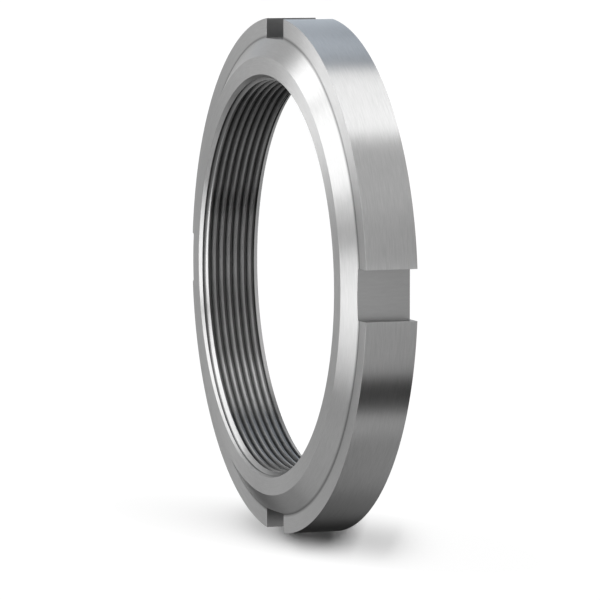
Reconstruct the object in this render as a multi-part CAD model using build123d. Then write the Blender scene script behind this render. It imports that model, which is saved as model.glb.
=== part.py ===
from build123d import *
import os
from math import ceil, radians, sqrt, tan

# Bearing lock nut: one turned steel ring with a fine thread right through it and four
# slots round the rim for a hook spanner. It lies on its rear face, so +Z is the axis of
# the thread, the origin is where that axis meets the rear face, and +X runs out through
# the middle of a slot. Millimetres and degrees.

# The thread, right-handed and of the usual metric form
thread_diameter = 155.0
thread_pitch = 3.0
flank_angle = 60.0
thread_start = 0.9

# The ring's section, stacked outwards from the thread to an outer diameter of 200
nut_width = 25.0
mouth_clearance = 0.6
mouth_angle = 35.0
face_land = 6.9
cone_run = 7.8
cone_rise = 4.7
rim_land = 7.2
edge_break = 0.3

# The spanner slots
slot_count = 4
slot_width = 19.3
slot_depth = 8.2

# Worked out from the sizes above
sharp_depth = thread_pitch / 2 / tan(radians(flank_angle / 2))
major_radius = thread_diameter / 2
minor_radius = major_radius - 5 / 8 * sharp_depth
mouth_radius = major_radius + mouth_clearance
mouth_depth = (mouth_radius - minor_radius) / tan(radians(mouth_angle))
face_radius = mouth_radius + face_land
cone_radius = face_radius + cone_run
outer_radius = cone_radius + rim_land
rim_height = nut_width - cone_rise
slot_floor = outer_radius - slot_depth


def ring():
    """The turned blank: flat rear face, straight rim, low cone up to the front face."""
    section = Polyline(
        (minor_radius, mouth_depth),
        (mouth_radius, 0),
        (outer_radius - edge_break, 0),
        (outer_radius, edge_break),
        (outer_radius, rim_height - edge_break),
        (outer_radius - edge_break, rim_height),
        (cone_radius, rim_height),
        (face_radius, nut_width),
        (mouth_radius, nut_width),
        (minor_radius, nut_width - mouth_depth),
        close=True,
    )
    return revolve(Plane.XZ * make_face(section), Axis.Z)


def spanner_slots():
    """Milled straight through both faces, each with its long edges at the rim broken."""
    side = slot_width / 2
    corner = sqrt(outer_radius**2 - side**2) - edge_break
    overrun = 2 * slot_depth
    outline = Polyline(
        (slot_floor, -side),
        (corner, -side),
        (corner + overrun, -side - overrun),
        (corner + overrun, side + overrun),
        (corner, side),
        (slot_floor, side),
        close=True,
    )
    cutter = extrude(make_face(outline), nut_width)
    return PolarLocations(0, slot_count) * cutter


def thread_groove():
    """The helical groove, a flat-bottomed V, as one full turn after another.

    The turns meet end to end and run past both faces. One long sweep would be too much
    for a single cut.
    """
    root = thread_pitch / 16
    depth = major_radius - minor_radius + thread_pitch / 8
    mouth = root + depth * tan(radians(flank_angle / 2))
    section = Polyline(
        (major_radius, -root),
        (major_radius, root),
        (major_radius - depth, mouth),
        (major_radius - depth, -mouth),
        close=True,
    )
    helix = Edge.make_helix(thread_pitch, thread_pitch, major_radius)
    turn = sweep(Plane.XZ * make_face(section), path=helix, is_frenet=True)
    turns = range(-1, ceil(nut_width / thread_pitch))
    return [Pos(0, 0, thread_start + n * thread_pitch) * turn for n in turns]


def lock_nut():
    return ring() - spanner_slots() - thread_groove()


os.makedirs("parts", exist_ok=True)
export_step(lock_nut(), "parts/lock_nut.step")
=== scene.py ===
import math
import bpy
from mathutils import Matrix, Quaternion, Vector


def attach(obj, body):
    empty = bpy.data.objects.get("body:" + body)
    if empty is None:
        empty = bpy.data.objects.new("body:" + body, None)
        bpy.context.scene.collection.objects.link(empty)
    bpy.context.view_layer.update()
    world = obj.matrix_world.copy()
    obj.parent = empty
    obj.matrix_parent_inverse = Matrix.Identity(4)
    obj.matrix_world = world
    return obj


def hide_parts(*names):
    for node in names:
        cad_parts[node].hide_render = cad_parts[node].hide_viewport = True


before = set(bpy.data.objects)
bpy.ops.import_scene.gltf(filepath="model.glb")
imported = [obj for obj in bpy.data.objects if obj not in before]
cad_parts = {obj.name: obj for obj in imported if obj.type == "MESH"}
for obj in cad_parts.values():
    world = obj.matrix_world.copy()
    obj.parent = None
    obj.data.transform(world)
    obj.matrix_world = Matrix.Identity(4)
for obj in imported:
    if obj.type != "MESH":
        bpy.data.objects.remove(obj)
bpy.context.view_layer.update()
print("loaded the packed nut")


# Helpers for the meshes
def deselectAll():
    if bpy.context.object and bpy.context.object.mode != "OBJECT":
        bpy.ops.object.mode_set(mode="OBJECT")
    bpy.ops.object.select_all(action="DESELECT")


def applyModifier(piece, kind, **settings):
    bpy.context.view_layer.objects.active = piece
    modifier = piece.modifiers.new(kind.lower(), kind)
    for name, value in settings.items():
        setattr(modifier, name, value)
    bpy.ops.object.modifier_apply(modifier=modifier.name)


def cutAway(piece, cutter):
    applyModifier(piece, "BOOLEAN", operation="DIFFERENCE", solver="EXACT",
                  object=cutter, material_mode="TRANSFER")
    bpy.data.objects.remove(cutter)


# Helpers for the nodes
def maths(tree, operation, first, second=None, third=None):
    made = tree.nodes.new("ShaderNodeMath")
    made.operation = operation
    for socket, value in zip(made.inputs, (first, second, third)):
        if value is None:
            continue
        if isinstance(value, (int, float)):
            socket.default_value = value
        else:
            tree.links.new(value, socket)
    return made.outputs[0]


def vectorMaths(tree, operation, first, second=None):
    made = tree.nodes.new("ShaderNodeVectorMath")
    made.operation = operation
    for socket, value in zip(made.inputs, (first, second)):
        if value is None:
            continue
        if isinstance(value, Vector):
            socket.default_value = value
        else:
            tree.links.new(value, socket)
    return made.outputs["Value" if operation in ("LENGTH", "DOT_PRODUCT") else "Vector"]


def ramp(tree, value, start, end, before, after, smooth=True):
    made = tree.nodes.new("ShaderNodeMapRange")
    if smooth:
        made.interpolation_type = "SMOOTHSTEP"
    made.inputs["From Min"].default_value = start
    made.inputs["From Max"].default_value = end
    made.inputs["To Min"].default_value = before
    made.inputs["To Max"].default_value = after
    tree.links.new(value, made.inputs["Value"])
    return made.outputs[0]


# The way out from the nut to a camera or a lamp, from degrees
def wayOut(azimuth, elevation):
    turn, rise = math.radians(azimuth), math.radians(elevation)
    return Vector((math.cos(turn) * math.cos(rise), math.sin(turn) * math.cos(rise),
                   math.sin(rise)))


# The camera looks from beside the nut and a little above it. It is rolled, because the photograph
# shows the nut standing on its rim and here it lies on its rear face
camera = {
    "aim": (-0.002389, -0.009988, 0.009125),
    "azimuth": 5.338,       # degrees from +X
    "elevation": 19.927,
    "distance": 1.8375,
    "roll": -91.825,
    "lens": 283.2,
}


def makeCamera():
    back = wayOut(camera["azimuth"], camera["elevation"])
    bpy.ops.object.camera_add(location=Vector(camera["aim"]) + back * camera["distance"])
    cam = bpy.context.object
    cam.name = "photoCamera"
    cam.rotation_mode = "QUATERNION"
    roll = Quaternion((0, 0, 1), math.radians(camera["roll"]))
    cam.rotation_quaternion = back.to_track_quat("Z", "Y") @ roll
    cam.data.lens = camera["lens"]
    cam.data.clip_start, cam.data.clip_end = 0.01, 100
    bpy.context.scene.camera = cam


deselectAll()
makeCamera()
print("camera set")

# Steel, with the fine marks that the lathe leaves round the axis and the mill along a slot
steel = {
    "turned": (0.44, 0.44, 0.44),
    # a darker copy of the same steel: painted shade in the slots
    "milled": (0.3, 0.3, 0.3),
    # a darker copy of the same steel: painted shade in the bore
    "threaded": (0.26, 0.26, 0.26),
    "paintedGrooveShade": 0.45,   # painted shade: share of the thread's colour left at the bottom of the groove
    "roughness": 0.315,
    "roughnessSpread": 0.04,
    "grain": 0.88,          # how far highlights stretch across the turned marks
    "markWidth": 0.00035,
    "markLength": 0.006,
    "markContrast": 0.19,
    "markDepth": 0.000002,
    "millMarks": (900, 900, 160),   # marks in a metre along X, Y and Z
    "millContrast": 0.09,
    "cloudSize": 0.03,
    "cloudContrast": 0.04,
    "paintedCornerShade": 0.45,    # painted shade: share of the colour left in the corner at the cone's foot
    "paintedCornerReach": 0.0011,
}


def makeSteel(name, colour, turned=True, grooved=False):
    material = bpy.data.materials.new(name)
    material.use_nodes = True
    tree = material.node_tree
    shader = tree.nodes["Principled BSDF"]
    shader.inputs["Metallic"].default_value = 1
    place = tree.nodes.new("ShaderNodeTexCoord").outputs["Object"]
    if turned:
        # a quarter turn from the tangent round the axis, so highlights stretch across the marks
        shader.inputs["Anisotropic"].default_value = steel["grain"]
        shader.inputs["Anisotropic Rotation"].default_value = 0.25
        around = vectorMaths(tree, "CROSS_PRODUCT", Vector((0, 0, 1)), place)
        tree.links.new(around, shader.inputs["Tangent"])
        # the marks change fast across, with radius less height, and slowly round the axis
        outward = vectorMaths(tree, "MULTIPLY", place, Vector((1, 1, 0)))
        radius = vectorMaths(tree, "LENGTH", outward)
        parts = tree.nodes.new("ShaderNodeSeparateXYZ")
        tree.links.new(place, parts.inputs[0])
        height = parts.outputs["Z"]
        turnRate = ring["outerRadius"] / steel["markLength"]
        angle = vectorMaths(tree, "MULTIPLY", vectorMaths(tree, "NORMALIZE", outward),
                            Vector((turnRate, turnRate, 0)))
        across = tree.nodes.new("ShaderNodeCombineXYZ")
        tree.links.new(maths(tree, "DIVIDE", maths(tree, "SUBTRACT", radius, height),
                             steel["markWidth"]), across.inputs["Z"])
        pattern = vectorMaths(tree, "ADD", angle, across.outputs[0])
    else:
        pattern = vectorMaths(tree, "MULTIPLY", place, Vector(steel["millMarks"]))
    marks = tree.nodes.new("ShaderNodeTexNoise")
    marks.inputs["Scale"].default_value = 1
    marks.inputs["Detail"].default_value = 3
    marks.inputs["Roughness"].default_value = 0.6
    tree.links.new(pattern, marks.inputs["Vector"])
    clouds = tree.nodes.new("ShaderNodeTexNoise")
    clouds.inputs["Scale"].default_value = 1 / steel["cloudSize"]
    clouds.inputs["Detail"].default_value = 2
    tree.links.new(place, clouds.inputs["Vector"])

    # noise from 0 to 1, brought round a middle value
    def vary(noise, middle, spread):
        return maths(tree, "MULTIPLY_ADD", noise.outputs[0], spread * 2, middle - spread)

    shade = maths(tree, "MULTIPLY",
                  vary(marks, 1, steel["markContrast"] if turned else steel["millContrast"]),
                  vary(clouds, 1, steel["cloudContrast"]))
    if grooved:
        # painted shade: the thread's colour darkens from the crests to the bottom of the groove
        shade = maths(tree, "MULTIPLY", shade,
                      ramp(tree, radius, ring["crestRadius"], thread["majorRadius"],
                           1, steel["paintedGrooveShade"], smooth=False))
    elif turned:
        # painted shade: the colour darkens in the corner at the cone's foot
        spot = tree.nodes.new("ShaderNodeCombineXYZ")
        tree.links.new(radius, spot.inputs["X"])
        tree.links.new(height, spot.inputs["Z"])
        corner = Vector((ring["coneFootRadius"], 0, ring["rimHeight"]))
        away = vectorMaths(tree, "LENGTH",
                           vectorMaths(tree, "SUBTRACT", spot.outputs[0], corner))
        shade = maths(tree, "MULTIPLY", shade,
                      ramp(tree, away, 0, steel["paintedCornerReach"], steel["paintedCornerShade"], 1))
    tint = vectorMaths(tree, "SCALE", Vector(colour))
    tree.links.new(shade, tint.node.inputs["Scale"])
    tree.links.new(tint, shader.inputs["Base Color"])
    tree.links.new(vary(marks, steel["roughness"], steel["roughnessSpread"]),
                   shader.inputs["Roughness"])
    bump = tree.nodes.new("ShaderNodeBump")
    bump.inputs["Distance"].default_value = steel["markDepth"]
    tree.links.new(marks.outputs[0], bump.inputs["Height"])
    tree.links.new(bump.outputs[0], shader.inputs["Normal"])
    return material


# The ring: a short cylinder, its ends inset and drawn in to the cone, the faces and the bore
ring = {
    "segments": 400,
    "outerRadius": 0.1,
    "rimHeight": 0.0203,
    "coneFootRadius": 0.0928,
    "faceRadius": 0.085,
    "width": 0.025,
    "mouthRadius": 0.0781,
    "mouthAngle": 35,       # degrees off the axis
    "crestRadius": 0.075876,
    "edgeRound": 0.00006,
    "roundAbove": 30.5,     # degrees between the faces at an edge
    "smoothBelow": 28,
}


def makeRing():
    bpy.ops.mesh.primitive_cylinder_add(
        vertices=ring["segments"], radius=ring["outerRadius"], depth=ring["rimHeight"],
        end_fill_type="NGON", location=(0, 0, ring["rimHeight"] / 2))
    piece = bpy.context.object
    piece.name = "lockNutRing"
    bpy.ops.object.transform_apply(location=True, rotation=True, scale=True)
    piece.data.materials.append(turnedSteel)
    piece.data.materials.append(threadSteel)

    def pickEnd(upward):
        bpy.ops.object.mode_set(mode="OBJECT")
        for face in piece.data.polygons:
            face.select = len(face.vertices) > 4 and (face.normal.z > 0.9) == upward
        bpy.ops.object.mode_set(mode="EDIT")

    def insetTo(radius, start):
        bpy.ops.mesh.inset(thickness=start - radius, use_even_offset=True)

    def drawIn(lift, radius, start):
        bpy.ops.mesh.extrude_region_move(TRANSFORM_OT_translate={"value": (0, 0, lift)})
        scale = radius / start
        bpy.ops.transform.resize(value=(scale, scale, 1), center_override=(0, 0, 0))

    mouthDepth = ((ring["mouthRadius"] - ring["crestRadius"])
                  / math.tan(math.radians(ring["mouthAngle"])))
    bpy.ops.object.mode_set(mode="EDIT")
    bpy.ops.mesh.select_mode(type="FACE")
    pickEnd(True)
    insetTo(ring["coneFootRadius"], ring["outerRadius"])
    drawIn(ring["width"] - ring["rimHeight"], ring["faceRadius"], ring["coneFootRadius"])
    insetTo(ring["mouthRadius"], ring["faceRadius"])
    drawIn(-mouthDepth, ring["crestRadius"], ring["mouthRadius"])
    pickEnd(False)
    insetTo(ring["mouthRadius"], ring["outerRadius"])
    drawIn(mouthDepth, ring["crestRadius"], ring["mouthRadius"])
    # the bore joins the two ends, and its wall becomes the thread's crests
    bpy.ops.object.mode_set(mode="OBJECT")
    for face in piece.data.polygons:
        face.select = len(face.vertices) > 4
    bpy.ops.object.mode_set(mode="EDIT")
    bpy.ops.mesh.bridge_edge_loops()
    bpy.ops.object.mode_set(mode="OBJECT")
    for face in piece.data.polygons:
        if face.select:
            face.material_index = 1
    return piece


# The four slots for the hook spanner, milled straight through
slots = {
    "count": 4,
    "width": 0.0193,
    "floor": 0.0918,        # from the axis
    "cutterReach": 0.02,    # on outwards from the floor
}


def makeSlotCutters():
    bpy.ops.mesh.primitive_cube_add(
        size=1, location=(slots["floor"] + slots["cutterReach"] / 2, 0, ring["width"] / 2))
    cutters = bpy.context.object
    cutters.scale = (slots["cutterReach"], slots["width"], 2 * ring["width"])
    bpy.ops.object.transform_apply(location=True, rotation=True, scale=True)
    cutters.data.materials.append(milledSteel)
    bpy.ops.object.mode_set(mode="EDIT")
    bpy.ops.mesh.select_all(action="SELECT")
    for turn in range(1, slots["count"]):
        bpy.ops.mesh.duplicate()
        bpy.ops.transform.rotate(value=math.radians(360 / slots["count"]), orient_axis="Z",
                                 center_override=(0, 0, 0))
    bpy.ops.object.mode_set(mode="OBJECT")
    return cutters


# The thread groove, one section drawn round as a screw
thread = {
    "majorRadius": 0.0775,
    "pitch": 0.003,
    "start": 0.0009,        # height of a groove's middle at +X
    "flankAngle": 60,
}


def makeThreadCutter():
    # the root is flat for an eighth of the pitch, and the mouth reaches as far past the crests
    root = thread["pitch"] / 8
    depth = thread["majorRadius"] - ring["crestRadius"] + thread["pitch"] / 8
    mouth = root + 2 * depth * math.tan(math.radians(thread["flankAngle"] / 2))
    turns = math.ceil(ring["width"] / thread["pitch"]) + 1
    middle = Vector((thread["majorRadius"] - depth / 2, 0, thread["start"] - thread["pitch"]))
    bpy.ops.mesh.primitive_plane_add(size=1, location=middle, rotation=(math.radians(90), 0, 0))
    groove = bpy.context.object
    groove.scale = (depth, root, 1)
    bpy.ops.object.transform_apply(location=True, rotation=True, scale=True)
    for vertex in groove.data.vertices:
        vertex.select = vertex.co.x < middle.x
    for edge in groove.data.edges:
        edge.select = all(groove.data.vertices[v].select for v in edge.vertices)
    for face in groove.data.polygons:
        face.select = False
    bpy.ops.object.mode_set(mode="EDIT")
    bpy.ops.mesh.select_mode(type="EDGE")
    bpy.ops.transform.resize(value=(1, 1, mouth / root), center_override=(0, 0, middle.z))
    bpy.ops.mesh.select_all(action="SELECT")
    bpy.ops.mesh.delete(type="ONLY_FACE")
    bpy.ops.object.mode_set(mode="OBJECT")
    applyModifier(groove, "SCREW", axis="Z", angle=math.tau, screw_offset=thread["pitch"],
                  iterations=turns, steps=ring["segments"], render_steps=ring["segments"],
                  use_normal_calculate=True)
    bpy.ops.object.mode_set(mode="EDIT")
    bpy.ops.mesh.select_all(action="SELECT")
    bpy.ops.mesh.remove_doubles(threshold=0.0000001)
    bpy.ops.mesh.fill_holes(sides=4)
    bpy.ops.mesh.normals_make_consistent(inside=False)
    # half a facet round, so that no corner of the screw meets one of the bore
    bpy.ops.transform.rotate(value=math.pi / ring["segments"], orient_axis="Z",
                             center_override=(0, 0, 0))
    bpy.ops.object.mode_set(mode="OBJECT")
    groove.data.materials.append(threadSteel)
    return groove


turnedSteel = makeSteel("turnedSteel", steel["turned"])
milledSteel = makeSteel("milledSteel", steel["milled"], turned=False)
threadSteel = makeSteel("threadSteel", steel["threaded"], grooved=True)
print("steel made")

deselectAll()
nut = makeRing()
deselectAll()
slotCutters = makeSlotCutters()
deselectAll()
nut.select_set(True)
cutAway(nut, slotCutters)
applyModifier(nut, "BEVEL", width=ring["edgeRound"], segments=3, limit_method="ANGLE",
              angle_limit=math.radians(ring["roundAbove"]))
deselectAll()
threadCutter = makeThreadCutter()
deselectAll()
nut.select_set(True)
cutAway(nut, threadCutter)
bpy.context.view_layer.objects.active = nut
bpy.ops.object.shade_smooth_by_angle(angle=math.radians(ring["smoothBelow"]))
applyModifier(nut, "WEIGHTED_NORMAL", keep_sharp=True)
print("nut", len(nut.data.polygons), "faces")

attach(nut, "root")
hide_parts("lock_nut")

# The floor glows white to the camera and is bare on two patches, where the nut's shadow falls.
# Two soft lamps throw the shadow, and the steel doesn't mirror them
floor = {
    "size": 30,
    "colour": 0.95,
    "glowing": 0.05,        # share of the colour left where the floor glows
    "patches": [
        # middle, turn in degrees, reach along and across, soft edge as a share of the reach
        (-0.026, -0.104, 4.8, 0.15, 0.0066, 0.85),
        (-0.03, 0.002, 0, 0.1, 0.1, 0.15),
    ],
    "holeRadius": 0.078,    # the floor seen through the bore glows too
    "sky": 0.03,
    "lamps": [
        # azimuth and elevation in degrees, distance, size, power
        (30, 16, 6.0, 2.6, 710),
        (115, 30, 6.0, 3.2, 385),
    ],
}


def makeFloor():
    bpy.ops.mesh.primitive_plane_add(size=floor["size"])
    piece = bpy.context.object
    piece.name = "floor"
    material = bpy.data.materials.new("paleFloor")
    material.use_nodes = True
    tree = material.node_tree
    shader = tree.nodes["Principled BSDF"]
    shader.inputs["Roughness"].default_value = 1
    shader.inputs["Specular IOR Level"].default_value = 0
    shader.inputs["Emission Color"].default_value = (1, 1, 1, 1)
    place = tree.nodes.new("ShaderNodeTexCoord").outputs["Object"]
    bare = 0
    for middleX, middleY, turn, along, across, edge in floor["patches"]:
        patch = tree.nodes.new("ShaderNodeMapping")
        patch.vector_type = "TEXTURE"
        patch.inputs["Location"].default_value = (middleX, middleY, 0)
        patch.inputs["Rotation"].default_value = (0, 0, math.radians(turn))
        patch.inputs["Scale"].default_value = (along, across, 1)
        tree.links.new(place, patch.inputs["Vector"])
        away = vectorMaths(tree, "LENGTH", patch.outputs[0])
        bare = maths(tree, "MAXIMUM", ramp(tree, away, 1 - edge, 1 + edge, 1, 0), bare)
    outside = maths(tree, "GREATER_THAN", vectorMaths(tree, "LENGTH", place),
                    floor["holeRadius"])
    bare = maths(tree, "MULTIPLY", bare, outside)
    colour = maths(tree, "MULTIPLY", maths(tree, "MAXIMUM", bare, floor["glowing"]),
                   floor["colour"])
    tree.links.new(colour, shader.inputs["Base Color"])
    rays = tree.nodes.new("ShaderNodeLightPath")
    glow = maths(tree, "MULTIPLY", rays.outputs["Is Camera Ray"],
                 maths(tree, "SUBTRACT", 1, bare))
    tree.links.new(glow, shader.inputs["Emission Strength"])
    piece.data.materials.append(material)
    piece.visible_glossy = piece.visible_shadow = False


def makeSky():
    world = bpy.data.worlds.new("sky")
    bpy.context.scene.world = world
    world.use_nodes = True
    tree = world.node_tree
    rays = tree.nodes.new("ShaderNodeLightPath")
    strength = tree.nodes.new("ShaderNodeMix")
    strength.inputs["A"].default_value = floor["sky"]
    strength.inputs["B"].default_value = 1
    tree.links.new(rays.outputs["Is Camera Ray"], strength.inputs["Factor"])
    tree.nodes["Background"].inputs["Color"].default_value = (1, 1, 1, 1)
    tree.links.new(strength.outputs["Result"], tree.nodes["Background"].inputs["Strength"])
    world.cycles_visibility.glossy = False


def makeFloorLamps():
    for azimuth, elevation, distance, size, power in floor["lamps"]:
        way = wayOut(azimuth, elevation)
        bpy.ops.object.light_add(type="AREA", location=way * distance)
        lamp = bpy.context.object
        lamp.name = "floorLamp"
        lamp.rotation_mode = "QUATERNION"
        lamp.rotation_quaternion = way.to_track_quat("Z", "Y")
        lamp.data.size = size
        lamp.data.energy = power
        lamp.visible_camera = lamp.visible_glossy = False


deselectAll()
makeFloor()
makeSky()
makeFloorLamps()
print("floor made")

# The light tent that the steel mirrors: a sphere round the nut with a slope of light, dark flags
# that hold some of it back, and soft bright panels
tent = {
    "radius": 0.5,
    "middle": (0, 0, 0.0125),
    "room": 0.71,
    "slope": (-0.06, -0.09, -0.31),
    "flags": [
        # azimuth, elevation, half width, half height and soft edge in degrees, share held back
        (-44.6, -7, 7.9, 36.5, 1.1, 1.0),
        (-147.5, -12, 21, 25, 11, 0.99),
        (122, -41, 41, 16, 3.4, 0.95),
        (-101, 0, 38, 22, 8, 0.82),
        (-21, -46, 50.6, 25.9, 7.3, 0.63),
        (-156, -36, 56, 39, 7, 0.45),
    ],
    "panels": [
        # the same, with the light added
        (114, -8, 8.5, 19, 1.8, 0.26),
        (-76, 31.5, 26, 16.6, 5.4, 0.3),
        (-2, -20, 8, 14, 4, 0.4),
        (30, 5, 38, 12.5, 2.8, 0.44),
        (79.5, -21, 18, 19.3, 1.2, 1.75),
        (90, 58, 55, 12, 1.2, 2.4),
        (91, 36, 84, 7, 3.6, 2.6),
        (-23, 68, 51, 17, 2.4, 3.1),
    ],
    "coolPanel": (129, -20, 31, 24, 2),
    "coolCast": (0.91, 1.0, 1.11),
}


def makeTent():
    bpy.ops.mesh.primitive_uv_sphere_add(segments=64, ring_count=32, radius=tent["radius"],
                                         location=tent["middle"])
    piece = bpy.context.object
    piece.name = "lightTent"
    material = bpy.data.materials.new("tentLight")
    material.use_nodes = True
    tree = material.node_tree
    tree.nodes.clear()
    place = tree.nodes.new("ShaderNodeTexCoord").outputs["Object"]
    direction = vectorMaths(tree, "NORMALIZE", place)
    parts = tree.nodes.new("ShaderNodeSeparateXYZ")
    tree.links.new(direction, parts.inputs[0])
    azimuth = maths(tree, "ARCTAN2", parts.outputs["Y"], parts.outputs["X"])
    elevation = maths(tree, "ARCSINE", parts.outputs["Z"])

    def sheet(middleAzimuth, middleElevation, halfWidth, halfHeight, edge):
        spread = []
        for angle, middle, half in ((azimuth, middleAzimuth, halfWidth),
                                    (elevation, middleElevation, halfHeight)):
            away = maths(tree, "ABSOLUTE",
                         maths(tree, "SUBTRACT", angle, math.radians(middle)))
            spread.append(ramp(tree, away, math.radians(half - edge),
                               math.radians(half + edge), 1, 0))
        return maths(tree, "MULTIPLY", *spread)

    slope = vectorMaths(tree, "DOT_PRODUCT", direction, Vector(tent["slope"]))
    light = maths(tree, "MAXIMUM", maths(tree, "ADD", slope, tent["room"]), 0)
    for *where, held in tent["flags"]:
        light = maths(tree, "MULTIPLY", light,
                      maths(tree, "MULTIPLY_ADD", sheet(*where), -held, 1))
    for *where, added in tent["panels"]:
        light = maths(tree, "MULTIPLY_ADD", sheet(*where), added, light)
    cast = tree.nodes.new("ShaderNodeMix")
    cast.data_type = "RGBA"
    cast.inputs["A"].default_value = (1, 1, 1, 1)
    cast.inputs["B"].default_value = (*tent["coolCast"], 1)
    tree.links.new(sheet(*tent["coolPanel"]), cast.inputs["Factor"])
    glow = tree.nodes.new("ShaderNodeEmission")
    tree.links.new(cast.outputs["Result"], glow.inputs["Color"])
    tree.links.new(light, glow.inputs["Strength"])
    surface = tree.nodes.new("ShaderNodeOutputMaterial")
    tree.links.new(glow.outputs[0], surface.inputs["Surface"])
    piece.data.materials.append(material)
    piece.visible_camera = piece.visible_diffuse = piece.visible_shadow = False


deselectAll()
makeTent()
bpy.context.scene.view_settings.view_transform = "Standard"
print("light tent made")
